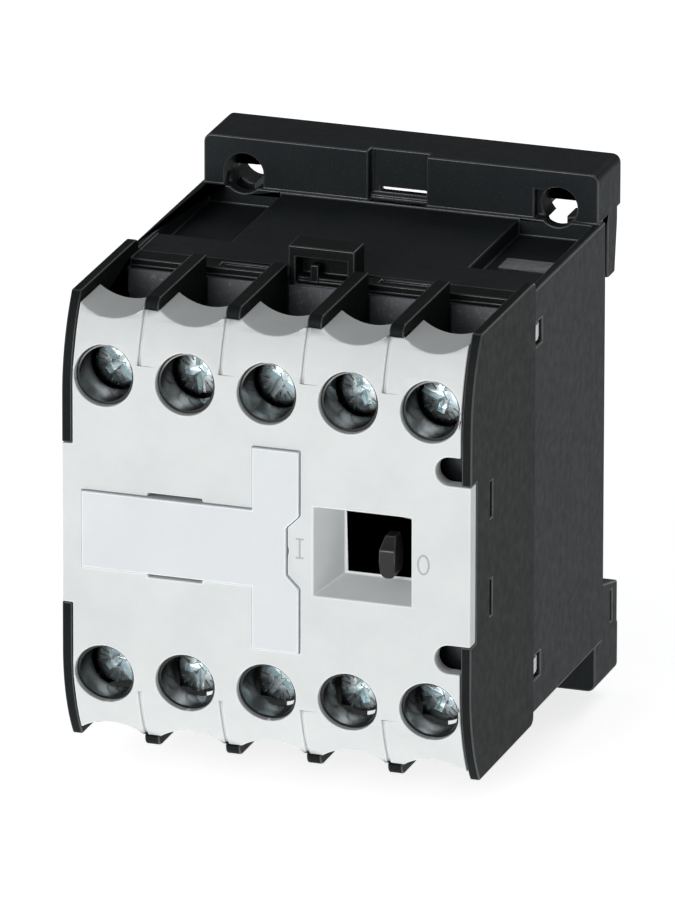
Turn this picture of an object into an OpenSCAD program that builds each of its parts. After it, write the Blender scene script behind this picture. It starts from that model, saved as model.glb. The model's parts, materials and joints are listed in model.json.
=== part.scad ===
// Mini power contactor for 35 mm top-hat rail or screw fixing.
// X runs to the right seen from the front, -Y is the front, +Z is up.
// The origin is the middle of the rail seat, on the rear face of the base.

/* [Outline] */
// Width over the side walls
body_w = 45; // [45:0.5:48]
// Height over the two fixing flanges
body_h = 58; // [58:0.5:60]
// Depth from the fixing plane to the front of the cover
body_d = 52; // [52:0.5:54]
// Depth of the recess that takes the rail
rail_recess = 6.5; // [6.5:0.1:7]
// Height of the side walls of the front housing
wall_h = 49.2; // [49.0:0.1:49.4]
// Height of the base between the flanges
base_h = 47; // [46.8:0.1:47.2]
// Depth of the front housing, measured from the front
front_d = 21.5; // [21.5:0.1:21.7]

/* [Terminals] */
// Distance from one pole to the next
pole_pitch = 8.95; // [8.9:0.05:8.95]
// Height of the terminal screws above and below the middle
screw_z = 16.5; // [16.4:0.1:16.6]
// Diameter of the screw holes in the cover
well_d = 6.5; // [6.5:0.05:6.6]
// Diameter of the terminal screw heads
head_d = 5.5; // [5.3:0.1:5.5]
// How far a terminal screw closes its clamp
clamp_travel = 2; // [1.5:0.1:2]

/* [Fixing] */
// Distance between the fixing holes across the body
fix_x = 35; // [34.8:0.1:35.2]
// Distance between the fixing holes along the body
fix_z = 50; // [49.8:0.1:50.2]
// Diameter of the fixing holes
fix_d = 4.3; // [4.2:0.1:4.4]

/* [Mechanism] */
// Travel of the contact carrier from open to closed
carrier_travel = 2.8; // [2.7:0.05:2.8]
// Open distance between the contact tips
contact_gap = 2; // [1.9:0.05:2]

/* [Hidden] */

$fn = 48;
e = 0.02;                              // clearance of faces that touch
black = [0.13, 0.14, 0.15];
light_grey = [0.84, 0.86, 0.87];
brass = [0.78, 0.58, 0.38];
half_w = body_w / 2;
half_h = body_h / 2;
back_y = rail_recess;                  // fixing plane
front_y = back_y - body_d;             // front of the cover
seam_y = front_y + front_d;            // joint between the two housings
wall_t = 1.1;
in_w = half_w - wall_t;                // inner face of the side walls
wall_z = wall_h / 2;
base_z = base_h / 2;
skin = 1.8;                            // thickness of the front cover
curve_z = 14;                          // the front is flat up to this height, then curves back
curve_r = 19;
cover_z = 23.7;                        // upper edge of the cover
lap_z = 8.8;                           // half height of the middle zone where the cover laps the walls
lap_w = half_w - 0.05;
fin_notch = 0.2;                       // how far the fins cut into the edge of the cover
fin_t = 1.6;
fin_z = wall_z + 0.2;                  // free edges of the fins
fin_y0 = front_y + 2.5;                // front ends of the fins
score_x = -0.65;                       // scored line in the cover, from the middle of each fin
score_w = 0.3;
score_z = 18;                          // where these lines begin
well_y = front_y + 18;                 // back wall of the wire wells
rear_web_t = 1.5;
deck_y = front_y + 3.1;                // front deck of the housing, behind the cover
deck_t = 1.2;
deck_z = 20.4;
chamber_y = deck_y + deck_t + e;       // front edges of the walls behind the deck
tube_r = well_d / 2 - 0.34;            // bore of the collars in the screw holes
tube_y1 = front_y + 4.8;               // their rear ends, just in front of the screw heads
pocket_d = 4;                          // depth of the window pocket
arm_y0 = front_y + 2.2;                // front ends of the cover's snap arms, hidden in the side walls
cross_z = 10.2;                        // wall between terminals and contact chambers
cross_t = 1;
lip_d = 8.9;                            // depth of the scalloped lips of the cover
lip_z = 21.4;                            // underside of the lips
scoop_r = 5.8;
scoop_dip = 1.3;
roof_z = 22.4;                         // front edge of the front housing's roof
roof_high = 23.2;                      // the rest of this roof, level with the base
platform_w = 13.2;                     // half width of the raised middle of the base's roof
channel_z = 21.5;                      // screwdriver channels beside it
channel_y = -18;
base_roof_z = 23.2;                    // raised middle and front strip of the base's roof
roof_t = 1.4;
seat_z = 16.3;                         // half height of the rail seat
flange_w = half_w - 0.5;
flange_y0 = -1.35;                     // front face of the flanges
flange_t = 4.3;                        // thickness behind the screw heads
flange_z = 23.4;                       // inner edge of the flanges
key_x0 = -3.6;                         // central recess in the flanges
key_x1 = 2.9;
key_d = 1.3;                           // its depth
slot_x0 = -2.6;                        // slot in its floor
slot_x1 = 2.5;
slot_z0 = 24.2;
slot_z1 = 24.7;
slot_back_z = 21.6;                    // lower edge of the slot at its rear, where it widens
mark_z = -0.4;                         // middle of the marking plate
notch_r = 1.55;                        // round ends of the two notches on the right of the cover
notch_x = 20.1;

// terminals
head_y = front_y + 5;                  // front of the screw heads at rest
head_h = 2.4;
shank_r = 1.72;
shank_l = 7.9;
washer_t = 0.9;
washer_w = 6.2;
washer_y = head_y + head_h + e;
strip_t = 1;
strip_y = washer_y + washer_t + clamp_travel + 0.1;
strip_w = 4.8;
leg_t = 0.8;
leg_x = -3;                            // left face of the fixed contact leg, from the pole centre
tip_r = 1.5;
tip_t = 0.7;
tip_z = 7.2;
tip_y = -34.2;

// moving contacts
bridge_x = leg_x + leg_t + 2 * tip_t + contact_gap;   // left face of the bridge at rest
bridge_t = 0.8;
bridge_w = 3.4;
window_l = 3.8;                        // length of the carrier windows
bar_z = 2.6;
bar_y0 = -38.6;
bar_y1 = -29.4;
pole_x = [for (i = [-2:2]) i * pole_pitch];
fin_x = [for (i = [-1.5:1:1.5]) i * pole_pitch];
tab_x = 12.9;                          // indicator tab, at rest on the right

// magnet
mag_y = -11;
mag_d = 10;
mag_z = 17;
core_x0 = -19.5;
pole_face = 3.2;
armature_x = pole_face + carrier_travel + 0.05;
armature_t = 4;
holder_x = armature_x + armature_t + 0.02;
holder_t = 2.4;
pin_r = 1.2;
pin_x = armature_x + 2;
coil_x0 = -15.3;
coil_x1 = 2.4;
spring_z = 19.2;
latch_w = 8;                           // half width of the latch
latch_y0 = 1.4;
latch_y1 = 5.1;
latch_floor = -28.2;                   // seat of the latch springs

// A 2-D outline drawn in Y and Z, extruded along X from x0 to x1.
module along_x(x0, x1) {
    translate([x0, 0, 0]) rotate([90, 0, 90]) linear_extrude(x1 - x0) children();
}

// A block given by its lowest and highest corners.
module block(lo, hi) {
    translate(lo) cube([for (i = [0:2]) hi[i] - lo[i]]);
}

// A rod along Y.
module rod_y(r, y0, y1, x = 0, z = 0) {
    translate([x, y0, z]) rotate([-90, 0, 0]) cylinder(r = r, h = y1 - y0);
}

// A rod along X.
module rod_x(r, x0, x1, y = 0, z = 0) {
    translate([x0, y, z]) rotate([0, 90, 0]) cylinder(r = r, h = x1 - x0);
}

module both_ways() {
    children();
    mirror([0, 0, 1]) children();
}

module both_sides() {
    children();
    mirror([1, 0, 0]) children();
}

// Everything behind the curved front, moved back by inset: flat in the middle, curving back above and below.
module front_profile(inset) {
    $fn = 96;
    translate([front_y + inset, -curve_z]) square([18, 2 * curve_z]);
    for (s = [-1, 1]) translate([front_y + curve_r, s * curve_z]) circle(r = curve_r - inset);
}

// A coil spring of round wire on the Z axis: a ring of wire is swept up a helix.
function helix_point(r, l, turns, t, wire, a) =
    let (angle = 360 * turns * t, out = r + wire * cos(a))
    [out * cos(angle), out * sin(angle), wire + (l - 2 * wire) * t + wire * sin(a)];

module coil_spring(r, l, turns, wire, steps = 12, sides = 6) {
    n = turns * steps;
    points = [for (i = [0:n]) for (j = [0:sides - 1])
        helix_point(r, l, turns, i / n, wire, j * 360 / sides)];
    ring = [for (i = [0:n - 1]) for (j = [0:sides - 1]) for (half = [0, 1])
        let (a = i * sides + j, b = i * sides + (j + 1) % sides)
        half == 0 ? [a, b, b + sides] : [a, b + sides, a + sides]];
    start = [[for (j = [sides - 1:-1:0]) j]];
    finish = [[for (j = [0:sides - 1]) n * sides + j]];
    polyhedron(points, concat(start, ring, finish), convexity = 10);
}

// ---- covers and housings ----

// One lip between two fins.
module cover_lip(x0, x1) {
    intersection() {
        block([x0, front_y, lip_z], [x1, front_y + lip_d, cover_z]);
        along_x(x0, x1) front_profile(0);
    }
}

// The scoop that runs from front to back over a lip.
module lip_scoop(xc) {
    rod_y(scoop_r, front_y - 1, front_y + lip_d + 1, xc, cover_z - scoop_dip + scoop_r);
}

// Left and right ends of a lip: lip 0 is at the left wall, lip 4 at the right one.
function lip_x0(i) = i == 0 ? -in_w + 0.1 : fin_x[i - 1] + fin_t / 2 + 0.05;
function lip_x1(i) = i == 4 ? in_w - 0.1 : fin_x[i] - fin_t / 2 - 0.05;

module cover_shell() {
    along_x(-in_w + 0.1, in_w - 0.1) intersection() {
        difference() {
            front_profile(0);
            front_profile(skin);
        }
        translate([front_y, -cover_z]) square([10, 2 * cover_z]);
    }
    block([-lap_w, front_y, -lap_z], [lap_w, front_y + skin, lap_z]);
}

// The window pocket narrows towards its floor.
module window_pocket() {
    hull() {
        block([5.2, front_y - 1, -5], [15.95, front_y, 4.8]);
        block([7.4, front_y + pocket_d - 0.1, -3.5], [16, front_y + pocket_d, 4.2]);
    }
    block([7.9, front_y, -3.1], [15.9, front_y + 8, 2.9]);
}

module cover_arm() {
    block([in_w - 0.2, arm_y0, 17.6], [in_w + 0.65, arm_y0 + 1.2, 19.4]);
    block([in_w, arm_y0, 17.6], [in_w + 0.65, seam_y + 2.3, 19.4]);
    arm_hook();
}

// The hook at the end of an arm, with a slanted rear face.
module arm_hook() {
    translate([0, 0, 17.6]) linear_extrude(1.8)
        polygon([
            [in_w + 0.3, seam_y + 0.2], [half_w - 0.2, seam_y + 0.2], [half_w - 0.3, seam_y + 1.6],
            [in_w + 0.6, seam_y + 2.3], [in_w + 0.3, seam_y + 2.3]
        ]);
}

module marker_outline(grow) {
    translate([0, mark_z]) {
        translate([-20.2 - grow, -4.2 - grow]) square([20, 8.4 + 2 * grow]);
        polygon([
            [-1.4 - grow, 11.1 + grow], [3.7 + grow, 11.1 + grow], [3.7 + grow, 4], [2.3 + grow, 2.6],
            [2.3 + grow, -2.6], [3.7 + grow, -4], [3.7 + grow, -11.1 - grow], [-1.4 - grow, -11.1 - grow]
        ]);
    }
}

// A plate with its outline in X and Z, from y0 to y1.
module plate_y(y0, y1) {
    translate([0, y1, 0]) rotate([90, 0, 0]) linear_extrude(y1 - y0) children();
}

module front_cover() {
    color(light_grey) difference() {
        union() {
            cover_shell();
            block([4.8, front_y + 1, -5.4], [16.6, front_y + pocket_d + 0.8, 5.4]);
            both_ways() for (i = [0:4]) cover_lip(lip_x0(i), lip_x1(i));
            both_ways() both_sides() cover_arm();
        }
        both_ways() {
            for (x = pole_x) rod_y(well_d / 2, front_y - 1, front_y + 3, x, screw_z);
            for (x = fin_x) {
                block([x - fin_t / 2 - 0.05, fin_y0 - 0.05, cover_z - fin_notch],
                      [x + fin_t / 2 + 0.05, 0, 40]);
                along_x(x + score_x - score_w / 2, x + score_x + score_w / 2) difference() {
                    translate([front_y - 1, score_z]) square([8, 10]);
                    front_profile(score_w);
                }
            }
            for (i = [0:4]) lip_scoop((lip_x0(i) + lip_x1(i)) / 2);
            rod_y(notch_r, front_y - 1, front_y + 4, notch_x, lap_z + notch_r);
            block([notch_x, front_y - 1, lap_z], [half_w + 1, front_y + 4, lap_z + 2 * notch_r]);
        }
        for (z = [-4.65, 4.1]) block([-13, front_y - 1, mark_z + z], [-7, front_y + 4, mark_z + z + 0.55]);
        window_pocket();
        plate_y(front_y - 1, front_y + 0.7) marker_outline(0.08);
        for (x = [-15, 1.3]) rod_y(1.2, front_y, front_y + 4, x, mark_z);
    }
}

module marker_plate() {
    color([0.86, 0.89, 0.92]) {
        plate_y(front_y - 0.35, front_y + 0.68) marker_outline(0);
        for (x = [-15, 1.3]) rod_y(1.15, front_y + 0.5, front_y + 2.2, x, mark_z);
    }
}

module side_wall() {
    difference() {
        along_x(in_w, half_w) intersection() {
            front_profile(0.1);
            translate([front_y, -wall_z]) square([front_d, 2 * wall_z]);
        }
        block([in_w - 1, front_y - 1, -lap_z - 0.05], [half_w + 1, front_y + skin + 0.1, lap_z + 0.05]);
        both_ways() block([in_w - 1, front_y + 6.4, 3.4], [half_w + 1, front_y + 7.2, 7.4]);
    }
}

// A divider between two poles, reaching from the cover to the back wall of the wire wells.
module fin(x) {
    along_x(x - fin_t / 2, x + fin_t / 2) difference() {
        translate([fin_y0, cross_z]) square([well_y - fin_y0, fin_z - cross_z]);
        translate([fin_y0, fin_z - 1]) difference() {
            translate([-1, 0]) square([2, 2]);
            translate([1, 0]) circle(r = 1);
        }
        difference() {
            translate([front_y, cross_z - 1]) square([6, cover_z - fin_notch + 1.05 - cross_z]);
            front_profile(skin + 0.05);
        }
        translate([front_y, 0]) square([deck_y + deck_t + e - front_y, deck_z + 0.1]);
    }
}

module screw_well(x) {
    intersection() {
        difference() {
            rod_y(well_d / 2 - 0.06, front_y - 1, tube_y1, x, screw_z);
            rod_y(tube_r, front_y - 2, tube_y1 + 1, x, screw_z);
        }
        along_x(-half_w, half_w) front_profile(0.7);
    }
}

// The arch on the roof takes the nose of an add-on block.
module roof_arch() {
    difference() {
        block([-3.65, well_y, roof_z - 1], [3.65, seam_y - 0.1, 26.8]);
        block([-2.85, well_y - 1, roof_z + 0.3], [2.85, seam_y - 1, 25.6]);
    }
    block([-1.5, well_y + 0.8, roof_z - 0.5], [-0.6, seam_y - 1.5, 24.6]);
}

// Closes the contact chambers behind the front cover; its collars line the screw holes.
module chamber_cover() {
    color(black) {
        difference() {
            along_x(-in_w + 0.05, in_w - 0.05) intersection() {
                front_profile(skin + 0.05);
                translate([deck_y, -deck_z]) square([deck_t, 2 * deck_z]);
            }
            both_ways() {
                for (x = pole_x) rod_y(tube_r, front_y - 2, deck_y + deck_t + 1, x, screw_z);
                both_sides() block([in_w - 0.4, front_y, 17.4], [in_w + 1, deck_y + deck_t + 1, 19.6]);
            }
            // opening for the window pocket and the indicator tab, and seats for the pins of the marker plate
            block([4.7, deck_y - 1, -5.5], [16.7, deck_y + deck_t + 1, 5.5]);
            for (x = [-15, 1.3]) rod_y(1.3, deck_y - 1, deck_y + 2, x, mark_z);
        }
        both_ways() for (x = pole_x) screw_well(x);
    }
}

// Slot for a contact strip through the wall between a chamber and a wire well.
module strip_slot(x0, x1) {
    block([x0, strip_y - 0.2, cross_z - 1], [x1, strip_y + strip_t + 0.1, cross_z + cross_t + 1]);
}

module contact_housing() {
    color(black) {
        difference() {
            union() {
                both_sides() side_wall();
                // rear web, with the wire wells and the chambers in front of it
                block([-in_w - 0.1, well_y, -roof_z], [in_w + 0.1, well_y + rear_web_t, roof_z]);
                both_ways() {
                    for (x = fin_x) fin(x);
                    block([-in_w - 0.1, chamber_y, cross_z], [in_w + 0.1, well_y + 0.1, cross_z + cross_t]);
                    block([-in_w - 0.1, well_y, roof_z - roof_t], [in_w + 0.1, seam_y - 0.02, roof_z]);
                    block([-in_w - 0.1, well_y + 0.9, roof_z - roof_t],
                          [in_w + 0.1, seam_y - 0.02, roof_high]);
                }
                for (x = fin_x)
                    block([x - 0.5, chamber_y, -cross_z - 0.1], [x + 0.5, well_y + 0.1, cross_z + 0.1]);
                roof_arch();
            }
            both_ways() {
                // shallow pads in the roof on both sides of the arch
                for (x = [-8.8, 8.8])
                    block([x - 3, well_y + 1.7, roof_high - 0.4], [x + 3, seam_y - 0.6, roof_high + 1]);
                // grooves in the side walls for the snap arms of the cover
                both_sides() block([in_w - 0.05, arm_y0 - 0.1, 17.4], [in_w + 0.75, seam_y + 1, 19.6]);
                // slots for the contact strips
                for (x = pole_x) strip_slot(x + leg_x - 0.1, x + strip_w / 2 + 0.1);
                strip_slot(16, 19.2);
                // slots for the coil terminals
                block([16, well_y - 1, 8.2], [19.2, well_y + 2, 10]);
            }
            // way for the carrier through the chamber walls and the rear web
            block([-16, bar_y0 - 0.6, -bar_z - 0.5], [14.6, well_y, bar_z + 0.5]);
            block([holder_x - carrier_travel - 0.6, well_y - 1, -bar_z - 0.5],
                  [holder_x + holder_t + 0.6, well_y + 2, bar_z + 0.5]);
            // opening for the window pocket and the indicator tab
            block([4.7, deck_y - 1, -5.5], [16.7, bar_y0, 5.5]);
        }
    }
}

// Outline of the base seen from the side, between the flanges.
module base_walls() {
    both_sides() difference() {
        block([in_w, seam_y, -base_z], [half_w - 0.1, -e, base_z]);
        both_ways() block([in_w - 1, seam_y - 1, 17.2], [half_w + 1, seam_y + 2.5, 19.8]);
    }
}

module base_roof() {
    block([-in_w - 0.1, seam_y, base_roof_z - roof_t], [in_w + 0.1, channel_y, base_roof_z]);
    block([-platform_w, channel_y - 0.1, base_roof_z - roof_t], [platform_w, 0, base_roof_z]);
    both_sides() {
        block([platform_w - 0.7, channel_y - 0.7, channel_z - roof_t], [in_w + 0.1, 0, channel_z]);
        block([platform_w - 0.7, channel_y - 0.7, channel_z - 1], [platform_w, 0, base_roof_z]);
        block([platform_w - 0.7, channel_y - 0.7, channel_z - 1], [in_w + 0.1, channel_y, base_roof_z]);
    }
}

// A fixing flange: a thick front wall with a rim behind it, open to the rear.
module flange() {
    difference() {
        block([-flange_w, flange_y0, flange_z], [flange_w, back_y, half_h]);
        // hollows in the rear, left and right of the middle
        both_sides()
            block([6, flange_y0 + flange_t, flange_z + 1.2], [flange_w - 1.4, back_y + 1, half_h - 1.2]);
        // central recess, open above, with a slot through its floor
        block([key_x0, flange_y0 - 1, flange_z - 1], [key_x1, flange_y0 + key_d, half_h + 1]);
        block([slot_x0, flange_y0, slot_z0], [slot_x1, flange_y0 + 3, slot_z1]);
        // the hollows are open below behind the fixing holes
        for (x = [-1, 1]) block([x * fix_x / 2 - 2.4, flange_y0 + flange_t, flange_z - 1],
                                [x * fix_x / 2 + 2.4, back_y + 1, half_h - 1.2]);
        // the front edges of the fixing holes are arched on one side and slotted on the other
        block([-fix_x / 2 - fix_d / 2, flange_y0 - 1, fix_z / 2 - 1.9],
              [-fix_x / 2 + fix_d / 2, flange_y0 + 1.2, fix_z / 2]);
        block([fix_x / 2 - 2.6, flange_y0 - 1, fix_z / 2 - 1.7],
              [fix_x / 2, flange_y0 + 1.2, fix_z / 2 + 1.7]);
    }
}

// Fixed hooks that reach behind the upper edge of the rail.
module upper_hooks() {
    both_sides() along_x(17.4, flange_w) polygon([
        [2.1, 24], [2.1, 16.9], [2.4, 16.4], [4.6, 16.4], [5.4, 22], [5.4, 24]
    ]);
    along_x(-12, 12) polygon([
        [-0.5, 24], [-0.5, 18], [1.4, 18], [1.4, 16.5], [3.4, 16.5], [4.4, 22], [4.4, 24]
    ]);
}

// Feet beside the latch, below the lower edge of the rail, each with a slit that lets it give.
module lower_feet() {
    both_sides() along_x(12, flange_w) difference() {
        polygon([[-0.5, -24], [-0.5, -17.7], [1.2, -17.6], [back_y - 0.2, -18.8], [back_y - 0.2, -24]]);
        translate([3.9, -22.7]) square([0.6, 3.4]);
    }
}

module base_housing() {
    color(black) difference() {
        union() {
            base_walls();
            both_ways() {
                base_roof();
                flange();
                block([-flange_w, flange_y0, channel_z - roof_t], [flange_w, 0, flange_z + 0.1]);
            }
            // back plate, with the seat on the rail
            block([-half_w + 0.1, -1.5, -base_z], [half_w - 0.1, -0.3, base_z]);
            block([-half_w + 0.1, -0.4, -seat_z], [half_w - 0.1, 0, seat_z]);
            upper_hooks();
            lower_feet();
            // seats of the return springs and of the core
            both_ways() {
                block([-6.4, mag_y - 4, mag_z + 0.5], [-4.4, -1, channel_z]);
                block([-15, mag_y + mag_d / 2 + e, mag_z - 4], [-10, -1, mag_z]);
            }
        }
        // the latch slides in the rear of the lower flange
        block([-latch_w - 0.1, latch_y0 - 0.1, latch_floor], [latch_w + 0.1, latch_y1 + 0.1, -15]);
        block([-4.1, latch_y0 - 0.1, -half_h - 1], [4.1, latch_y1 + 0.1, -15]);
        both_ways() {
            // fixing holes
            for (x = [-1, 1]) rod_y(fix_d / 2, flange_y0 - 1, back_y + 1, x * fix_x / 2, fix_z / 2);
            // the slot in the central recess widens behind its front edge
            block([slot_x0 - 2, flange_y0 + 2.4, slot_back_z], [slot_x1, back_y + 1, slot_z1]);
        }
    }
}

module rating_label() {
    color("silver") block([14.6, -12.6, channel_z + 0.01], [19.8, -9.4, channel_z + 0.13]);
}

// ---- terminals ----

// Poles 1 to 5 are the upper row from left to right, 6 to 10 the lower row.
function terminal_x(k) = pole_x[(k - 1) % 5];
function terminal_side(k) = k <= 5 ? 1 : -1;

module at_terminal(k) {
    translate([terminal_x(k), 0, terminal_side(k) * screw_z]) children();
}

// Screw with a combined slot and cross recess, turned differently at each terminal.
module terminal_screw(k) {
    color([0.72, 0.76, 0.8]) at_terminal(k) difference() {
        union() {
            intersection() {
                rod_y(head_d / 2, head_y, head_y + head_h);
                translate([0, head_y + 6.2, 0]) sphere(r = 6.2, $fn = 64);
            }
            rod_y(shank_r, head_y + head_h - 0.1, head_y + head_h + shank_l);
        }
        rotate([0, k * 37, 0]) {
            block([-2.4, head_y - 1, -0.45], [2.4, head_y + 1.2, 0.45]);
            block([-0.6, head_y - 1, -1.7], [0.6, head_y + 1.2, 1.7]);
        }
    }
}

module clamp_washer(k) {
    color([0.75, 0.75, 0.72]) at_terminal(k) difference() {
        block([-washer_w / 2, washer_y, -washer_w / 2], [washer_w / 2, washer_y + washer_t, washer_w / 2]);
        rod_y(shank_r + 0.15, washer_y - 1, washer_y + 2);
    }
}

// Tongue under a terminal screw, with the threaded hole.
module terminal_tongue(x, inner_z) {
    difference() {
        block([x - strip_w / 2, strip_y, inner_z], [x + strip_w / 2, strip_y + strip_t, 20]);
        rod_y(shank_r + 0.06, strip_y - 1, strip_y + strip_t + 1, x, screw_z);
    }
}

module contact_strips() {
    for (i = [0:3]) {
        terminal_tongue(pole_x[i], 9.4);
        block([pole_x[i] + leg_x, tip_y - 2.2, 5.2], [pole_x[i] + leg_x + leg_t, tip_y + 2, 9.9]);
        block([pole_x[i] + leg_x, strip_y, 9.2], [pole_x[i], strip_y + strip_t, 9.9]);
    }
}

module contact_tips() {
    x = leg_x + leg_t;
    for (i = [0:3]) rod_x(tip_r, pole_x[i] + x, pole_x[i] + x + tip_t, tip_y, tip_z);
}

// The coil terminal runs back from its tongue and then across to the pin of the bobbin.
module coil_terminal() {
    x = pole_x[4];
    terminal_tongue_narrow(x);
    block([x - 1.2, strip_y, 8.6], [x + 1.2, mag_y - 11.8, 9.6]);
    block([coil_x1 - 1.6, mag_y - 12.4, 8.6], [x + 1.2, mag_y - 11.8, 9.6]);
}

module terminal_tongue_narrow(x) {
    terminal_tongue(x, cross_z + cross_t + 0.3);
    block([x - 1.2, strip_y, 8.6], [x + 1.2, strip_y + strip_t, cross_z + cross_t + 0.4]);
}

// ---- moving contacts ----

module contact_carrier() {
    stop_x = bridge_x - 0.02;
    color([0.2, 0.19, 0.18]) {
        difference() {
            block([pole_x[0] + stop_x - 1.6, bar_y0, -bar_z],
                  [pole_x[3] + stop_x + window_l + 1.4, bar_y1, bar_z]);
            for (i = [0:3]) block([pole_x[i] + stop_x, tip_y - bridge_w / 2 - 0.1, -bar_z - 1],
                                  [pole_x[i] + stop_x + window_l, tip_y + bridge_w / 2 + 0.1, bar_z + 1]);
        }
        indicator_tab();
        // stem and holder of the armature
        block([holder_x, bar_y1 - 0.1, -bar_z], [holder_x + holder_t, mag_y - 10.9, bar_z]);
        difference() {
            union() {
                block([holder_x, mag_y - 11, -spring_z - 1.1],
                      [holder_x + holder_t, mag_y + 7, spring_z + 1.1]);
                for (y = [mag_y - 8.4, mag_y + mag_d / 2 + 0.2])
                    block([pin_x - 2, y, -2.4], [holder_x + 1, y + 3.2, 2.4]);
            }
            rod_y(pin_r + 0.03, mag_y - 12, mag_y + 12, pin_x, 0);
        }
    }
}

// The tab that shows the position in the window: narrow at the top, rounded below.
module indicator_tab() {
    hull() {
        block([tab_x - 0.6, front_y + 2.4, 1.4], [tab_x + 0.6, bar_y0 + 0.1, 1.7]);
        block([tab_x - 0.9, front_y + 1.2, -0.8], [tab_x + 0.9, bar_y0 + 0.1, 0.4]);
        for (x = [-0.1, 0.1]) rod_y(0.75, front_y + 1.5, bar_y0 + 0.1, tab_x + x, -2);
    }
    block([tab_x - 0.9, bar_y0 - 0.5, -2.4], [tab_x + 0.9, bar_y0 + 0.5, 1.4]);
}

module contact_bridge(i) {
    x = pole_x[i] + bridge_x;
    color(brass) {
        block([x, tip_y - bridge_w / 2, -8.8], [x + bridge_t, tip_y + bridge_w / 2, 8.8]);
        for (s = [-1, 1]) rod_x(tip_r, x - tip_t, x + 0.1, tip_y, s * tip_z);
    }
}

module contact_spring(i) {
    color("silver") translate([pole_x[i] + bridge_x + bridge_t, tip_y, 0])
        rotate([0, 90, 0]) coil_spring(r = 1.2, l = window_l - bridge_t - 0.03, turns = 3, wire = 0.2);
}

// ---- magnet ----

module magnet_core() {
    color([0.45, 0.46, 0.48]) difference() {
        union() {
            block([core_x0, mag_y - mag_d / 2, -mag_z], [core_x0 + 4, mag_y + mag_d / 2, mag_z]);
            block([core_x0, mag_y - mag_d / 2, -3], [pole_face, mag_y + mag_d / 2, 3]);
            both_ways() block([core_x0, mag_y - mag_d / 2, 12.5], [pole_face, mag_y + mag_d / 2, mag_z]);
        }
        both_ways() {
            rod_y(0.92, mag_y - 10, mag_y + 10, core_x0 + 2, 14.8);
            block([pole_face - 1.2, mag_y - 10, 14.3], [pole_face + 1, mag_y + 10, 15.05]);
        }
    }
}

module core_rivets() {
    color("silver") both_ways() {
        rod_y(0.9, mag_y - mag_d / 2 - 0.7, mag_y + mag_d / 2 + 0.7, core_x0 + 2, 14.8);
        for (y = [mag_y - mag_d / 2 - 0.7, mag_y + mag_d / 2 + 0.02])
            rod_y(1.5, y, y + 0.68, core_x0 + 2, 14.8);
    }
}

module shading_rings() {
    color([0.72, 0.45, 0.25]) both_ways() difference() {
        block([pole_face - 1.1, mag_y - 5.8, 14.35], [pole_face - 0.2, mag_y + 5.8, mag_z + 0.8]);
        block([pole_face - 2, mag_y - 5.05, 15], [pole_face + 1, mag_y + 5.05, mag_z + 0.05]);
    }
}

module core_pads() {
    color([0.1, 0.1, 0.1]) both_ways()
        block([-in_w + 0.02, mag_y - 4, 9], [core_x0 - 0.02, mag_y + 4, 15]);
}

module coil_bobbin() {
    color([0.25, 0.25, 0.27]) difference() {
        union() {
            block([coil_x0, mag_y - 6.4, -4.4], [coil_x1, mag_y + 6.4, 4.4]);
            for (x = [coil_x0, coil_x1 - 1]) block([x, mag_y - 9.2, -11.8], [x + 1, mag_y + 9.2, 11.8]);
        }
        block([coil_x0 - 1, mag_y - 5.1, -3.1], [coil_x1 + 1, mag_y + 5.1, 3.1]);
        both_ways() rod_y(0.42, mag_y - 10, mag_y - 7, coil_x1 - 0.5, 9.1);
    }
}

module coil_winding() {
    color([0.75, 0.4, 0.2]) difference() {
        along_x(coil_x0 + 1.02, coil_x1 - 1.02) {
            translate([mag_y - 6.4, -10.4]) square([12.8, 20.8]);
            translate([mag_y - 8.4, -8.4]) square([16.8, 16.8]);
            for (y = [-6.4, 6.4], z = [-8.4, 8.4]) translate([mag_y + y, z]) circle(r = 2);
        }
        block([coil_x0, mag_y - 6.42, -4.42], [coil_x1, mag_y + 6.42, 4.42]);
    }
}

// Two round pins on the bobbin, each touching its coil terminal.
module coil_pins() {
    color("silver") both_ways() rod_y(0.4, mag_y - 11.78, mag_y - 7.2, coil_x1 - 0.5, 9.1);
}

module armature() {
    color([0.45, 0.46, 0.48]) difference() {
        block([armature_x, mag_y - mag_d / 2, -mag_z], [armature_x + armature_t, mag_y + mag_d / 2, mag_z]);
        rod_y(pin_r + 0.03, mag_y - 12, mag_y + 12, pin_x, 0);
    }
}

module armature_pin() {
    color("silver") rod_y(pin_r, mag_y - 8.3, mag_y + 8.3, pin_x, 0);
}

module return_spring(side) {
    color("silver") translate([-4.38, mag_y, side * spring_z])
        rotate([0, 90, 0]) coil_spring(r = 1.1, l = holder_x + 4.36, turns = 6, wire = 0.22);
}

// ---- rail latch ----

// Sprung slider: its nose holds the lower edge of the rail, a screwdriver in its window pulls it down.
module rail_latch() {
    shoulder = -26;
    color(black) difference() {
        union() {
            along_x(-latch_w, latch_w) polygon([
                [latch_y0, shoulder], [latch_y0, -16.6], [latch_y0 + 0.8, -16.5], [latch_y1, -18.4],
                [latch_y1, shoulder]
            ]);
            block([-4, latch_y0, -half_h + 0.2], [4, latch_y1, shoulder + 1]);
        }
        block([-2.8, 0, -flange_z - 2.3], [2.8, 6, -flange_z - 0.7]);
        for (s = [-1, 1]) block([s * 6.1 - 1, 2.3, shoulder - 1], [s * 6.1 + 1, 4.3, -21]);
    }
}

module latch_spring() {
    color("silver") for (s = [-1, 1]) translate([s * 6.1, 3.3, latch_floor + e])
        coil_spring(r = 0.7, l = -21 - latch_floor - 2 * e, turns = 6, wire = 0.14, steps = 10);
}

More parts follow.
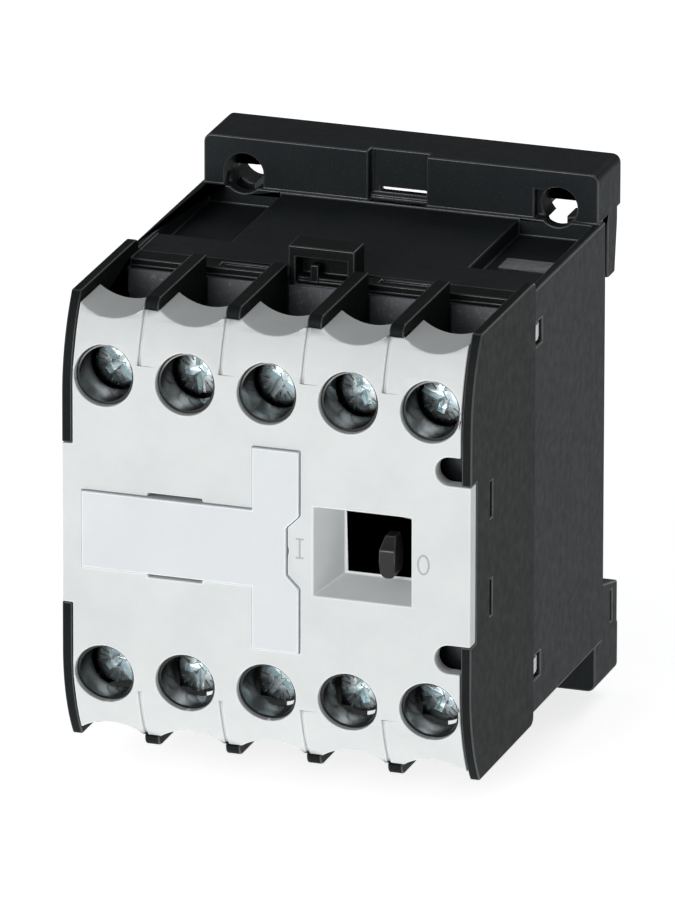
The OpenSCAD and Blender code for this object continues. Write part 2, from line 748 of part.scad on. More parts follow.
front_cover();
marker_plate();
chamber_cover();
contact_housing();
base_housing();
rating_label();
contact_carrier();
contact_bridge(0);  // contact_bridge_1
contact_bridge(1);  // contact_bridge_2
contact_bridge(2);  // contact_bridge_3
contact_bridge(3);  // contact_bridge_4
contact_spring(0);  // contact_spring_1
contact_spring(1);  // contact_spring_2
contact_spring(2);  // contact_spring_3
contact_spring(3);  // contact_spring_4
color(brass) contact_strips();  // upper_contact_strips
color(brass) mirror([0, 0, 1]) contact_strips();  // lower_contact_strips
color("silver") contact_tips();  // upper_contact_tips
color("silver") mirror([0, 0, 1]) contact_tips();  // lower_contact_tips
color(brass) coil_terminal();  // coil_terminal_a1
color(brass) mirror([0, 0, 1]) coil_terminal();  // coil_terminal_a2
terminal_screw(1);  // terminal_screw_1
terminal_screw(2);  // terminal_screw_2
terminal_screw(3);  // terminal_screw_3
terminal_screw(4);  // terminal_screw_4
terminal_screw(5);  // terminal_screw_5
terminal_screw(6);  // terminal_screw_6
terminal_screw(7);  // terminal_screw_7
terminal_screw(8);  // terminal_screw_8
terminal_screw(9);  // terminal_screw_9
terminal_screw(10);  // terminal_screw_10
clamp_washer(1);  // clamp_washer_1
clamp_washer(2);  // clamp_washer_2
clamp_washer(3);  // clamp_washer_3
clamp_washer(4);  // clamp_washer_4
clamp_washer(5);  // clamp_washer_5
clamp_washer(6);  // clamp_washer_6
clamp_washer(7);  // clamp_washer_7
clamp_washer(8);  // clamp_washer_8
clamp_washer(9);  // clamp_washer_9
clamp_washer(10);  // clamp_washer_10
magnet_core();
core_rivets();
shading_rings();
core_pads();
coil_bobbin();
coil_winding();
coil_pins();
armature();
armature_pin();
return_spring(1);  // return_spring_upper
return_spring(-1);  // return_spring_lower
rail_latch();
latch_spring();
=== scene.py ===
"""Looks of a mini contactor for a 35 mm rail: moulded plastic, plated screws and a plain studio."""

import json
import math

import bmesh
import bpy
from mathutils import Matrix, Vector


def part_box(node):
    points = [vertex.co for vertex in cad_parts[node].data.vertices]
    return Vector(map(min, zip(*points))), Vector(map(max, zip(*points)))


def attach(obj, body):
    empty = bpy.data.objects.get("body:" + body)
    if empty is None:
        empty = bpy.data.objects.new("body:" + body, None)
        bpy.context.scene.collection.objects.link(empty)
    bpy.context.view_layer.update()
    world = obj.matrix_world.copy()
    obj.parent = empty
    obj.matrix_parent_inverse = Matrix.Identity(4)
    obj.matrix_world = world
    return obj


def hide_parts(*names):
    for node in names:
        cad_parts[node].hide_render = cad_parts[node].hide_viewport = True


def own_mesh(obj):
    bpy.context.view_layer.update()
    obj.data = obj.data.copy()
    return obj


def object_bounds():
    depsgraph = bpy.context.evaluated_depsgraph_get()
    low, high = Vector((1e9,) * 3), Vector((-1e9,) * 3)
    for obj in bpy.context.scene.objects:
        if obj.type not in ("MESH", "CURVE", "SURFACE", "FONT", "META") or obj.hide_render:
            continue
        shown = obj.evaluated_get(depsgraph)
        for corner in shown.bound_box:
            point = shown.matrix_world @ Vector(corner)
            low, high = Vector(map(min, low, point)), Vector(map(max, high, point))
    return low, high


MM = 0.001
LATCH_TRAVEL = 2 * MM      # the rail latch slides down by this, and the floor is as much lower
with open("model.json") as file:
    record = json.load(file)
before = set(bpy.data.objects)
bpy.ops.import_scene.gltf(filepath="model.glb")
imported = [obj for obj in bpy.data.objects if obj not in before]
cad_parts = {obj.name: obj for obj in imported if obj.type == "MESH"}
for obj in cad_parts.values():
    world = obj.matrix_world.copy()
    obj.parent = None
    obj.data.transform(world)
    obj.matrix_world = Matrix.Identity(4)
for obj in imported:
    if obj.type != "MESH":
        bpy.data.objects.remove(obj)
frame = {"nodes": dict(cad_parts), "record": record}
cad_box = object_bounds()
NODES = frame["nodes"]


# ---- node materials ----

def new_material(name):
    """An empty node material with a Principled shader; returns (material, tree, shader)."""
    made = bpy.data.materials.new(name)
    made.use_nodes = True
    tree = made.node_tree
    tree.nodes.clear()
    shader = tree.nodes.new("ShaderNodeBsdfPrincipled")
    out = tree.nodes.new("ShaderNodeOutputMaterial")
    tree.links.new(shader.outputs["BSDF"], out.inputs["Surface"])
    return made, tree, shader


def noise(tree, scale, detail=2.0, rough=0.5, stretch=(1, 1, 1)):
    """Noise of a real size: scale is the number of features in a metre."""
    place = tree.nodes.new("ShaderNodeTexCoord")
    mapping = tree.nodes.new("ShaderNodeMapping")
    mapping.inputs["Scale"].default_value = stretch
    texture = tree.nodes.new("ShaderNodeTexNoise")
    texture.inputs["Scale"].default_value = scale
    texture.inputs["Detail"].default_value = detail
    texture.inputs["Roughness"].default_value = rough
    tree.links.new(place.outputs["Object"], mapping.inputs["Vector"])
    tree.links.new(mapping.outputs["Vector"], texture.inputs["Vector"])
    return texture.outputs["Fac"]


def ramp(tree, value, stops):
    """A colour ramp over value; stops are (position, colour or number)."""
    node = tree.nodes.new("ShaderNodeValToRGB")
    elements = node.color_ramp.elements
    while len(elements) < len(stops):
        elements.new(0.5)
    for element, (position, colour) in zip(elements, stops):
        element.position = position
        if isinstance(colour, (int, float)):
            colour = (colour, colour, colour)
        element.color = (*colour, 1)
    tree.links.new(value, node.inputs["Fac"])
    return node.outputs["Color"]


def blend(tree, kind, share, a, b):
    """Mixes two colour outputs."""
    node = tree.nodes.new("ShaderNodeMix")
    node.data_type = "RGBA"
    node.blend_type = kind
    node.inputs["Factor"].default_value = share
    tree.links.new(a, node.inputs["A"])
    tree.links.new(b, node.inputs["B"])
    return node.outputs["Result"]


def bump(tree, shader, height, strength, depth, before=None):
    """Adds relief of a real depth in metres to the shader's normal."""
    node = tree.nodes.new("ShaderNodeBump")
    node.inputs["Strength"].default_value = strength
    node.inputs["Distance"].default_value = depth
    tree.links.new(height, node.inputs["Height"])
    if before is not None:
        tree.links.new(before, node.inputs["Normal"])
    tree.links.new(node.outputs["Normal"], shader.inputs["Normal"])
    return node.outputs["Normal"]


def moulded(name, dark, light, grain=5200, grain_depth=14e-6, rough=(0.42, 0.58), specular=0.5, speckle=0.0):
    """Injection moulded plastic: cloudy tone, spark-eroded grain and faint flow marks."""
    made, tree, shader = new_material(name)
    cloud = ramp(tree, noise(tree, 170, 4, 0.6), [(0.3, dark), (0.7, light)])
    fine = noise(tree, grain, 3, 0.6)
    if speckle:
        dots = ramp(tree, fine, [(0.56, 0.0), (0.74, speckle)])
        cloud = blend(tree, "ADD", 1.0, cloud, dots)
    tree.links.new(cloud, shader.inputs["Base Color"])
    tree.links.new(ramp(tree, noise(tree, 900, 3), [(0.3, rough[0]), (0.7, rough[1])]),
                   shader.inputs["Roughness"])
    shader.inputs["Specular IOR Level"].default_value = specular
    flow = bump(tree, shader, noise(tree, 60, 2, 0.5, (1, 1, 3)), 0.07, 60e-6)
    bump(tree, shader, fine, 0.8, grain_depth, flow)
    return made


def plated(name, dark, light, rough=(0.16, 0.34), scratch=0.35):
    """Zinc plated or stamped metal with drawn scratches and clouded passivation."""
    made, tree, shader = new_material(name)
    cloud = ramp(tree, noise(tree, 700, 4, 0.65), [(0.32, dark), (0.68, light)])
    tree.links.new(cloud, shader.inputs["Base Color"])
    tree.links.new(ramp(tree, noise(tree, 1500, 3), [(0.3, rough[0]), (0.7, rough[1])]),
                   shader.inputs["Roughness"])
    shader.inputs["Metallic"].default_value = 1.0
    lines = noise(tree, 2500, 2, 0.5, (1, 1, 9))
    wave = bump(tree, shader, lines, scratch, 20e-6)
    bump(tree, shader, noise(tree, 7000, 2), 0.4, 10e-6, wave)
    return made


def wound(name, colour, pitch):
    """Enamelled wire lying in close turns, with painted shade in the grooves between them."""
    made, tree, shader = new_material(name)
    place = tree.nodes.new("ShaderNodeTexCoord")
    wave = tree.nodes.new("ShaderNodeTexWave")
    wave.bands_direction = "X"
    wave.wave_profile = "SIN"
    wave.inputs["Scale"].default_value = 0.314 / pitch
    wave.inputs["Distortion"].default_value = 0.3
    tree.links.new(place.outputs["Object"], wave.inputs["Vector"])
    # the darker end of the ramp paints shade in the grooves between turns
    low = tuple(c * 0.35 for c in colour)
    tree.links.new(ramp(tree, wave.outputs["Fac"], [(0.1, low), (0.7, colour)]), shader.inputs["Base Color"])
    tree.links.new(ramp(tree, noise(tree, 1200), [(0.3, 0.25), (0.7, 0.4)]), shader.inputs["Roughness"])
    shader.inputs["Metallic"].default_value = 0.7
    shader.inputs["Coat Weight"].default_value = 0.5
    bump(tree, shader, wave.outputs["Fac"], 1.0, 0.00008)
    return made


COVER = moulded("cover_plastic", (0.60, 0.625, 0.622), (0.65, 0.672, 0.668), 6500, 7e-6, (0.42, 0.52), 0.35)
# lighter copy for the cover's bevelled edges: its lighter colour is a painted highlight, its lower roughness
# is the plastic's own
COVER_PAINTED_HIGHLIGHT = moulded("cover_plastic_painted_highlight", (0.68, 0.70, 0.70), (0.73, 0.75, 0.75), 6500, 5e-6, (0.3, 0.4),
                     0.45)
PLATE = moulded("plate_plastic", (0.63, 0.652, 0.668), (0.66, 0.682, 0.70), 8000, 4e-6, (0.34, 0.42), 0.4)
# lighter copy for the marker plate's bevelled edges: its lighter colour is a painted highlight, its lower
# roughness is the plastic's own
PLATE_PAINTED_HIGHLIGHT = moulded("plate_plastic_painted_highlight", (0.76, 0.80, 0.83), (0.80, 0.84, 0.87), 8000, 4e-6, (0.26, 0.34),
                     0.5)
BLACK = moulded("black_plastic", (0.0085, 0.0105, 0.0105), (0.0115, 0.0135, 0.0135), 4200, 14e-6,
                (0.5, 0.6), 0.06, 0.008)
# lighter copy for the bevelled edges of both black housings and the latch: its lighter colour is a painted
# highlight, its lower roughness is the plastic's own
BLACK_PAINTED_HIGHLIGHT = moulded("black_plastic_painted_highlight", (0.03, 0.034, 0.036), (0.05, 0.055, 0.058), 4200, 10e-6,
                     (0.26, 0.42), 0.5)
BASE_BLACK = moulded("base_plastic", (0.0150, 0.0188, 0.0205), (0.0205, 0.0240, 0.0262), 3600, 14e-6,
                     (0.5, 0.6), 0.08, 0.012)
WELL_BLACK = moulded("collar_plastic", (0.008, 0.009, 0.010), (0.012, 0.013, 0.014), 5200, 4e-6,
                     (0.16, 0.26), 0.5)
# rear walls of the wire wells: rough grained plastic whose light grey tone is painted light falling in
# through the well openings
WELL_PAINTED_LIGHT = moulded("well_wall_painted_light", (0.12, 0.13, 0.14), (0.21, 0.22, 0.235), 2600, 60e-6, (0.6, 0.75), 0.3,
                  0.16)
DARK = moulded("carrier_plastic", (0.010, 0.010, 0.0105), (0.015, 0.015, 0.0155), 5000, 12e-6, (0.38, 0.52),
               0.35)
# lighter copy for the carrier's bevelled edges: its lighter colour is a painted highlight, its lower
# roughness is the plastic's own
DARK_PAINTED_HIGHLIGHT = moulded("carrier_plastic_painted_highlight", (0.03, 0.028, 0.026), (0.045, 0.042, 0.04), 5000, 8e-6,
                    (0.28, 0.4), 0.5)
BOBBIN = moulded("bobbin_plastic", (0.05, 0.05, 0.055), (0.07, 0.07, 0.075), 5000, 12e-6)
RUBBER = moulded("rubber", (0.015, 0.015, 0.015), (0.022, 0.022, 0.022), 3000, 25e-6, (0.7, 0.85), 0.3)
ZINC = plated("zinc_plating", (0.66, 0.77, 0.79), (0.86, 0.93, 0.95), (0.24, 0.38), 0.5)
STEEL = plated("spring_steel", (0.38, 0.39, 0.40), (0.52, 0.53, 0.54))
BRASS = plated("contact_brass", (0.60, 0.42, 0.22), (0.74, 0.55, 0.31), (0.2, 0.36))
SILVER = plated("contact_silver", (0.74, 0.74, 0.72), (0.84, 0.84, 0.82), (0.25, 0.4))
CORE = plated("lamination_steel", (0.22, 0.225, 0.23), (0.34, 0.345, 0.35), (0.35, 0.5), 0.9)
COPPER = wound("enamelled_copper", (0.55, 0.22, 0.09), 0.00012)
RING = plated("shading_copper", (0.55, 0.27, 0.14), (0.68, 0.36, 0.2))
LABEL = plated("label_film", (0.47, 0.48, 0.50), (0.56, 0.57, 0.59), (0.38, 0.48), 0.2)
MARK = moulded("mark_ink", (0.36, 0.37, 0.37), (0.42, 0.43, 0.43), 9000, 3e-6, (0.4, 0.5))

SLOT_MATERIAL = {
    "cover_grey": COVER, "marker_white": PLATE, "black_plastic": BLACK, "carrier_plastic": DARK,
    "bobbin_plastic": BOBBIN, "label_silver": LABEL, "zinc_steel": ZINC, "contact_brass": BRASS,
    "contact_silver": SILVER, "spring_steel": STEEL, "lamination_steel": CORE, "copper": COPPER,
    "rubber_black": RUBBER,
}


def body_with(node):
    """The CAD body that holds a node."""
    return next(b for b, members in frame["record"]["behaviour"]["bodies"].items() if node in members)


def slot_of(node):
    """The record's material slot of a node."""
    return next(s["material_slot"] for s in frame["record"]["subparts"] if s["node"] == node)


def add_piece(name, mesh, materials, body, replaced=()):
    """Links a finished mesh as a piece that rides on a body."""
    piece = bpy.data.objects.new(name, mesh)
    for m in materials:
        mesh.materials.append(m)
    bpy.context.scene.collection.objects.link(piece)
    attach(piece, body)
    if replaced:
        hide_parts(*replaced)
    return piece


def weigh_normals(piece):
    """Keeps large faces flat and lets the small edge roundings carry the shading."""
    modifier = piece.modifiers.new("weighted normals", "WEIGHTED_NORMAL")
    modifier.keep_sharp = True
    modifier.weight = 80


# ---- softened copies of the moulded parts ----

def room(face, edge):
    """How far a face reaches away from one of its edges."""
    a, b = (v.co for v in edge.verts)
    across = face.normal.cross((b - a).normalized())
    reach = [abs((v.co - a).dot(across)) for v in face.verts]
    return max(reach)


def soften(node, width, materials, name, sharp=32, corners=None, painted_lit=None):
    """A copy of a CAD part with its real edge radii, which takes the part's place.

    corners(edge) picks outer corners that get CORNER_R; the face test in the last argument picks faces of the
    last material, a light grey that is painted light falling into the wire wells.
    """
    bm = bmesh.new()
    bm.from_mesh(NODES[node].data)
    bmesh.ops.remove_doubles(bm, verts=bm.verts, dist=2e-6)
    bmesh.ops.dissolve_limit(bm, angle_limit=math.radians(0.8), verts=bm.verts, edges=bm.edges)
    bm.normal_update()
    # the wells' rear walls below the roof edge take the last material, painted light falling into the wells
    if painted_lit:
        walls = [f for f in bm.faces if rear_wall(f)]
        parts = walls + list({e for f in walls for e in f.edges}) + list({v for f in walls for v in f.verts})
        bmesh.ops.bisect_plane(bm, geom=parts, plane_co=(0, 0, ROOF_EDGE), plane_no=(0, 0, 1))
        for face in bm.faces:
            if painted_lit(face):
                face.material_index = len(materials) - 1
    if corners:
        round_edges = [e for e in bm.edges if e.is_manifold and corners(e)]
        bmesh.ops.bevel(bm, geom=round_edges, offset=CORNER_R, offset_type="OFFSET", segments=6, profile=0.5,
                        affect="EDGES", clamp_overlap=True, material=0)
        bm.normal_update()
    chosen = [
        e for e in bm.edges
        if e.is_manifold and e.calc_face_angle(0) > math.radians(sharp)
        and e.calc_length() > 0.6 * width and all(room(f, e) > 2.3 * width for f in e.link_faces)
    ]
    # the bevel faces take material 1, the lighter copy whose colour paints a highlight along every rounded
    # edge
    bmesh.ops.bevel(bm, geom=chosen, offset=width, offset_type="OFFSET", segments=2, profile=0.5,
                    affect="EDGES", clamp_overlap=False, material=1)
    bmesh.ops.remove_doubles(bm, verts=bm.verts, dist=1e-6)
    bm.normal_update()
    mesh = bpy.data.meshes.new(name)
    bm.to_mesh(mesh)
    bm.free()
    mesh.shade_smooth()
    mesh.set_sharp_from_angle(angle=math.radians(50))
    piece = add_piece(name, mesh, materials, body_with(node), [node])
    weigh_normals(piece)
    return piece


CORNER_R = 0.9 * MM
BASE_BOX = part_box("base_housing")
HOUSING_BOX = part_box("contact_housing")
WELL_DEPTH = 3.5 * MM      # from the back wall of the wire wells to the rear of their housing
ROOF_EDGE = 22.5 * MM      # the arch stands on the roof above this height


def near(value, target):
    """Whether two lengths agree to a hundredth of a millimetre."""
    return abs(value - target) < 0.01 * MM


def flange_corner(edge):
    """The four outer corners of the fixing flanges, which run from front to back."""
    a, b = (v.co for v in edge.verts)
    return near(a.x, b.x) and near(a.z, b.z) and near(abs(a.z), BASE_BOX[1].z) and abs(a.x) > 21 * MM


def wall_corner(edge):
    """The rear corners of the side walls of the front housing."""
    a, b = (v.co for v in edge.verts)
    rear = near(a.y, HOUSING_BOX[1].y) and near(b.y, HOUSING_BOX[1].y)
    return rear and near(a.z, b.z) and near(abs(a.z), 24.6 * MM) and abs(a.x) > 21 * MM


def rear_wall(face):
    """A face in the plane of the wire wells' rear walls."""
    return near(face.calc_center_median().y, HOUSING_BOX[1].y - WELL_DEPTH) and face.normal.y < -0.9


def well_back(face):
    """The rear wall of a wire well, below the edge of the roof."""
    return rear_wall(face) and 11 * MM < abs(face.calc_center_median().z) < ROOF_EDGE


soften("front_cover", 0.16 * MM, [COVER, COVER_PAINTED_HIGHLIGHT], "cover_moulding")
soften("marker_plate", 0.14 * MM, [PLATE, PLATE_PAINTED_HIGHLIGHT], "marker_moulding")
# the wells' rear walls get the light grey material that paints light falling into them
soften("contact_housing", 0.14 * MM, [BLACK, BLACK_PAINTED_HIGHLIGHT, WELL_PAINTED_LIGHT], "contact_housing_moulding",
       corners=wall_corner, painted_lit=well_back)
soften("base_housing", 0.18 * MM, [BASE_BLACK, BLACK_PAINTED_HIGHLIGHT], "base_housing_moulding", corners=flange_corner)
soften("rail_latch", 0.2 * MM, [BASE_BLACK, BLACK_PAINTED_HIGHLIGHT], "rail_latch_moulding")
soften("contact_carrier", 0.14 * MM, [DARK, DARK_PAINTED_HIGHLIGHT], "carrier_moulding")
for k in range(1, 11):
    soften(f"clamp_washer_{k}", 0.12 * MM, [ZINC, ZINC], f"clamp_washer_{k}_stamping")


# ---- terminal screws ----

def lathe(profile, steps):
    """A closed surface turned about the Y axis from (radius, y) pairs; the first and last lie on the axis."""
    bm = bmesh.new()
    rings = []
    for r, y in profile:
        if r == 0:
            rings.append([bm.verts.new((0, y, 0))])
        else:
            rings.append([
                bm.verts.new((r * math.cos(2 * math.pi * i / steps), y,
                              r * math.sin(2 * math.pi * i / steps)))
                for i in range(steps)
            ])
    for a, b in zip(rings, rings[1:]):
        for i in range(steps):
            j = (i + 1) % steps
            loop = [a[i % len(a)], a[j % len(a)], b[j % len(b)], b[i % len(b)]]
            corners = list(dict.fromkeys(loop))
            if len(corners) > 2:
                bm.faces.new(corners)
    bmesh.ops.recalc_face_normals(bm, faces=bm.faces)
    return bm


def wedge(bm, length, top, bottom, depth, turn, y0):
    """Adds a tapered bar that cuts one slot: length along X, its depth along Y, turned about Y."""
    short = length - (top - bottom)
    above = 0.5 * MM
    corners = []
    for y, half_l, half_w in ((y0 - above, length / 2, top / 2), (y0 + depth, short / 2, bottom / 2)):
        for sx, sz in ((-1, -1), (1, -1), (1, 1), (-1, 1)):
            corners.append(bm.verts.new((sx * half_l, y, sz * half_w)))
    for f in ((3, 2, 1, 0), (4, 5, 6, 7), (0, 1, 5, 4), (1, 2, 6, 5), (2, 3, 7, 6), (3, 0, 4, 7)):
        bm.faces.new([corners[i] for i in f])
    bmesh.ops.rotate(bm, verts=corners, cent=(0, 0, 0), matrix=Matrix.Rotation(turn, 3, "Y"))


def temporary(bm, name):
    """A linked object made from a bmesh, for a boolean cut."""
    bmesh.ops.recalc_face_normals(bm, faces=bm.faces)
    mesh = bpy.data.meshes.new(name)
    bm.to_mesh(mesh)
    bm.free()
    made = bpy.data.objects.new(name, mesh)
    bpy.context.scene.collection.objects.link(made)
    return made


def cut(body, tools):
    """The body's mesh with the tools cut out of it one after another."""
    for tool in tools:
        modifier = body.modifiers.new("cut", "BOOLEAN")
        modifier.operation = "DIFFERENCE"
        modifier.solver = "EXACT"
        modifier.object = tool
    depsgraph = bpy.context.evaluated_depsgraph_get()
    mesh = bpy.data.meshes.new_from_object(body.evaluated_get(depsgraph))
    for o in [body, *tools]:
        bpy.data.objects.remove(o)
    return mesh


def screw_mesh(head_r, head_h, shank_r, length):
    """A plated screw, its face at y = 0: a low dome with a slot and cross, tick marks and a thread."""
    profile = [(0, 0)]
    dome = 0.42 * MM
    rim = 0.22 * MM
    for i in range(1, 10):
        r = (head_r - rim) * i / 9
        profile.append((r, dome * (r / head_r) ** 2))
    for i in range(1, 5):
        a = math.pi / 2 * i / 4
        profile.append((head_r - rim + rim * math.sin(a), dome + rim * (1 - math.cos(a)) - 0.02 * MM))
    profile += [(head_r, head_h - 0.15 * MM), (head_r - 0.15 * MM, head_h), (shank_r, head_h)]
    pitch = 0.6 * MM
    turns = int((length - head_h - 0.6 * MM) / pitch)
    for i in range(turns):
        y = head_h + 0.3 * MM + i * pitch
        profile += [(shank_r, y), (shank_r - 0.24 * MM, y + 0.5 * pitch)]
    profile += [(shank_r - 0.1 * MM, length - 0.2 * MM), (shank_r - 0.4 * MM, length), (0, length)]
    body = temporary(lathe(profile, 64), "screw blank")
    tools = []
    for turn, length_, top in ((0, 2.3 * head_r, 0.95 * MM), (math.pi / 2, 3.5 * MM, 0.95 * MM)):
        bm = bmesh.new()
        wedge(bm, length_, top, 0.62 * MM, 1.25 * MM, turn, 0)
        tools.append(temporary(bm, "slot"))
    bm = bmesh.new()
    wedge(bm, 1.9 * MM, 1.9 * MM, 0.8 * MM, 1.45 * MM, math.pi / 4, 0)
    tools.append(temporary(bm, "socket"))
    for quarter in range(4):
        for tilt, far in ((0, 2.75), (-0.30, 2.5), (0.30, 2.5)):
            angle = math.pi / 4 + quarter * math.pi / 2 + tilt
            bm = bmesh.new()
            wedge(bm, 1.25 * MM, 0.26 * MM, 0.03 * MM, 0.36 * MM + 0.3 * dome, 0, 0.1 * MM)
            reach = (far - 0.62) * MM
            bmesh.ops.translate(bm, verts=bm.verts, vec=(reach, 0, 0))
            bmesh.ops.rotate(bm, verts=bm.verts, cent=(0, 0, 0), matrix=Matrix.Rotation(angle, 3, "Y"))
            tools.append(temporary(bm, "tick"))
    return cut(body, tools)


head_low, head_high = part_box("terminal_screw_1")
HEAD_R = (head_high.x - head_low.x) / 2
SCREW_L = head_high.y - head_low.y
screw = screw_mesh(HEAD_R, 2.4 * MM, 1.72 * MM, SCREW_L)
for k in range(1, 11):
    low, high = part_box(f"terminal_screw_{k}")
    mesh = screw.copy()
    mesh.materials.clear()
    turn = Matrix.Rotation(math.radians(37 * k + 12), 4, "Y")
    mesh.transform(Matrix.Translation(((low.x + high.x) / 2, low.y, (low.z + high.z) / 2)) @ turn)
    for face in mesh.polygons:
        face.material_index = 0
    mesh.shade_smooth()
    mesh.set_sharp_from_angle(angle=math.radians(28))
    add_piece(f"screw_{k}", mesh, [ZINC], body_with(f"terminal_screw_{k}"),
              [f"terminal_screw_{k}"])


# ---- springs ----

def coil_mesh(name, start, direction, length, radius, wire, turns):
    """A round wire wound from start along direction, with closed end turns."""
    along = Vector(direction)
    side = along.orthogonal().normalized()
    other = along.cross(side)
    steps, sides = 20, 8
    count = int(turns * steps)
    bm = bmesh.new()
    rings = []
    for i in range(count + 1):
        share = i / count
        eased = share + 0.045 * math.sin(4 * math.pi * share) / 2
        angle = 2 * math.pi * turns * share
        out = side * math.cos(angle) + other * math.sin(angle)
        centre = Vector(start) + along * (wire + (length - 2 * wire) * eased) + out * radius
        rings.append([
            bm.verts.new(centre + out * (wire * math.cos(2 * math.pi * j / sides))
                         + along * (wire * math.sin(2 * math.pi * j / sides)))
            for j in range(sides)
        ])
    for a, b in zip(rings, rings[1:]):
        for j in range(sides):
            n = (j + 1) % sides
            bm.faces.new((a[j], a[n], b[n], b[j]))
    bm.faces.new(rings[0][::-1])
    bm.faces.new(rings[-1])
    bmesh.ops.recalc_face_normals(bm, faces=bm.faces)
    mesh = bpy.data.meshes.new(name)
    bm.to_mesh(mesh)
    bm.free()
    mesh.shade_smooth()
    return mesh


def add_spring(name, nodes, axis, wire, turns, halves=1):
    """Replaces spring nodes by wound wire that rides on the spring's body."""
    for node in nodes:
        low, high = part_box(node)
        along = Vector(axis)
        size = high - low
        length = abs(size.dot(along))
        across = min(size[i] for i in range(3) if abs(along[i]) < 0.5)
        middle = (low + high) / 2
        spots = [0] if halves == 1 else [-1, 1]
        for n, s in enumerate(spots):
            start = middle - along * length / 2
            if halves > 1:
                start.x = middle.x + s * (size.x - across) / 2
            mesh = coil_mesh(name, start, along, length, across / 2 - wire, wire, turns)
            label = node if halves == 1 else f"{node}_{n + 1}"
            piece = add_piece(f"{label}_wire", mesh, [STEEL], body_with(node), [node])
            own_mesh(piece)


add_spring("return wire", ["return_spring_upper", "return_spring_lower"], (1, 0, 0), 0.22 * MM, 7)
add_spring("latch wire", ["latch_spring"], (0, 0, 1), 0.14 * MM, 8, 2)
for i in range(1, 5):
    add_spring("contact wire", [f"contact_spring_{i}"], (1, 0, 0), 0.2 * MM, 3.5)


# ---- printed marks beside the window ----

def flat_outline(name, loops, y, thick):
    """A thin raised print from outer and inner outlines in X and Z, each a list of (x, z) pairs in metres."""
    bm = bmesh.new()
    outer, inner = loops
    n = len(outer)
    front = [bm.verts.new((x, y - thick, z)) for x, z in outer]
    back = [bm.verts.new((x, y, z)) for x, z in outer]
    for i in range(n):
        j = (i + 1) % n
        bm.faces.new((front[i], front[j], back[j], back[i]))
    if inner:
        front_in = [bm.verts.new((x, y - thick, z)) for x, z in inner]
        back_in = [bm.verts.new((x, y, z)) for x, z in inner]
        for i in range(n):
            j = (i + 1) % n
            bm.faces.new((front[j], front[i], front_in[i], front_in[j]))
            bm.faces.new((back[i], back[j], back_in[j], back_in[i]))
            bm.faces.new((front_in[j], front_in[i], back_in[i], back_in[j]))
    else:
        bm.faces.new(front[::-1])
        bm.faces.new(back)
    bmesh.ops.recalc_face_normals(bm, faces=bm.faces)
    mesh = bpy.data.meshes.new(name)
    bm.to_mesh(mesh)
    bm.free()
    return mesh


COVER_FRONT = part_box("front_cover")[0].y
PRINT_THICK = 0.03 * MM


def oval(cx, cz, rx, rz, steps=40):
    """Points on an oval in X and Z."""
    return [(cx + rx * math.cos(2 * math.pi * i / steps), cz + rz * math.sin(2 * math.pi * i / steps))
            for i in range(steps)]


zero_x, zero_z = 17.3 * MM, -0.2 * MM
zero = flat_outline("mark off", (oval(zero_x, zero_z, 0.68 * MM, 1.12 * MM),
                                 oval(zero_x, zero_z, 0.5 * MM, 0.92 * MM)),
                    COVER_FRONT, PRINT_THICK)
add_piece("mark_off", zero, [MARK], body_with("front_cover"))
one_x, one_z = 3.75 * MM, 0.05 * MM
half_h, serif, stem, bar = 1.12 * MM, 0.42 * MM, 0.09 * MM, 0.17 * MM
one_outline = [
    (-serif, half_h), (-serif, half_h - bar), (-stem, half_h - bar), (-stem, -half_h + bar),
    (-serif, -half_h + bar), (-serif, -half_h), (serif, -half_h), (serif, -half_h + bar), (stem, -half_h + bar), (stem, half_h - bar),
    (serif, half_h - bar), (serif, half_h),
]
one = flat_outline("mark on", ([(one_x + x, one_z + z) for x, z in one_outline], None), COVER_FRONT,
                   PRINT_THICK)
add_piece("mark_on", one, [MARK], body_with("front_cover"))

# ---- every CAD part that stays gets its finish ----

OWN_FINISH = {"shading_rings": RING, "chamber_cover": WELL_BLACK}
for name, node in NODES.items():
    if node.hide_render:
        continue
    finish = SLOT_MATERIAL[slot_of(name)]
    finish = OWN_FINISH.get(name, finish)
    node.data.materials.clear()
    node.data.materials.append(finish)

# ---- studio ----

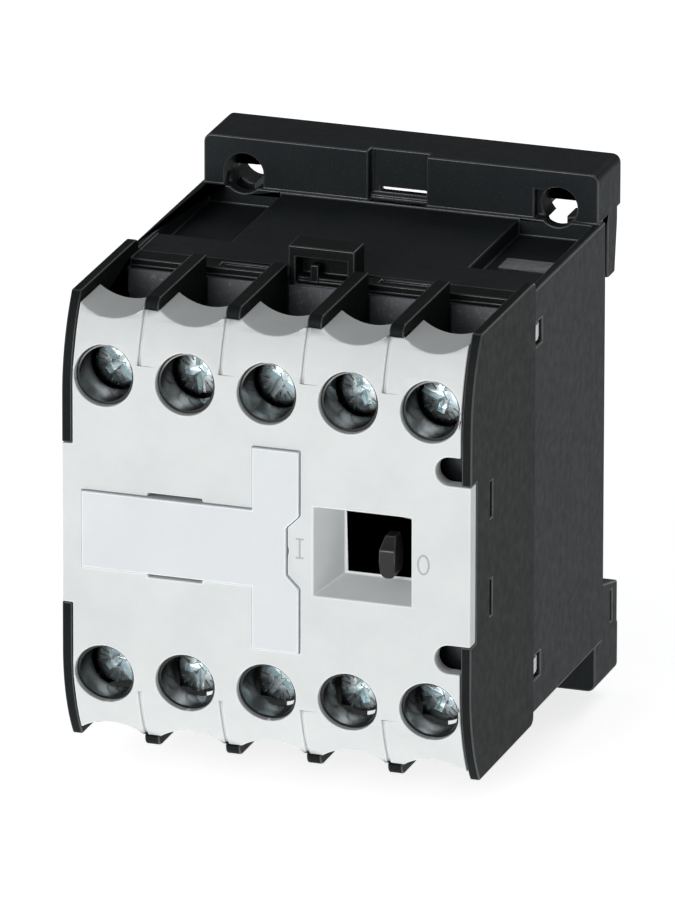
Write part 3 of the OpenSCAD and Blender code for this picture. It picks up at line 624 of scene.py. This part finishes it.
floor_z = cad_box[0].z - LATCH_TRAVEL - 0.1 * MM
bpy.ops.mesh.primitive_grid_add(x_subdivisions=2, y_subdivisions=2, size=14, location=(0, 0, floor_z))
floor = bpy.context.object
floor.name = "studio_floor"
paper, tree, shader = new_material("studio_paper")
tone = ramp(tree, noise(tree, 3, 2), [(0.3, 0.86), (0.7, 0.88)])
tree.links.new(tone, shader.inputs["Base Color"])
shader.inputs["Roughness"].default_value = 0.9
shader.inputs["Specular IOR Level"].default_value = 0.1
shader.inputs["Emission Color"].default_value = (1, 1, 1, 1)
shader.inputs["Emission Strength"].default_value = 0.75
floor.data.materials.append(paper)


def softbox(name, spot, aim, size, power, tint=(1, 1, 1)):
    """A square area light at spot, turned to aim."""
    data = bpy.data.lights.new(name, "AREA")
    data.shape = "RECTANGLE"
    data.size, data.size_y = size
    data.energy = power
    data.color = tint
    lamp = bpy.data.objects.new(name, data)
    lamp.location = spot
    lamp.rotation_mode = "QUATERNION"
    lamp.rotation_quaternion = (Vector(aim) - Vector(spot)).to_track_quat("-Z", "Y")
    bpy.context.scene.collection.objects.link(lamp)
    return lamp


softbox("key", (-0.30, -1.25, 0.36), (0, -0.02, 0), (0.55, 0.55), 9.0)
softbox("fill", (1.1, -0.6, 0.3), (0, -0.02, 0), (0.5, 0.8), 0.4)
softbox("back", (0.3, 0.9, 0.9), (0, 0, 0), (0.7, 0.5), 2.6)

world = bpy.data.worlds.new("studio")
bpy.context.scene.world = world
world.use_nodes = True
sky = world.node_tree.nodes["Background"]
sky.inputs["Color"].default_value = (0.97, 0.985, 1.0, 1)
sky.inputs["Strength"].default_value = 0.2

bpy.context.scene.view_settings.view_transform = "Standard"
bpy.context.scene.view_settings.look = "None"

camera_data = bpy.data.cameras.new("camera")
camera = bpy.data.objects.new("camera", camera_data)
camera_data.lens = 718.0
camera_data.sensor_width = 36
camera_data.clip_start = 0.05
camera_data.clip_end = 30
camera.location = (0.56710, -1.71114, 0.62655)
yaw, pitch, roll = (math.radians(a) for a in (18.559, 19.296, 0.124))
forward = Vector((-math.sin(yaw) * math.cos(pitch), math.cos(yaw) * math.cos(pitch), -math.sin(pitch)))
camera.rotation_mode = "QUATERNION"
right = Vector((math.cos(yaw), math.sin(yaw), 0))
up = right.cross(forward)
rolled_right = right * math.cos(roll) + up * math.sin(roll)
rolled_up = up * math.cos(roll) - right * math.sin(roll)
camera.rotation_quaternion = Matrix((rolled_right, rolled_up, -forward)).transposed().to_quaternion()
bpy.context.scene.collection.objects.link(camera)
bpy.context.scene.camera = camera
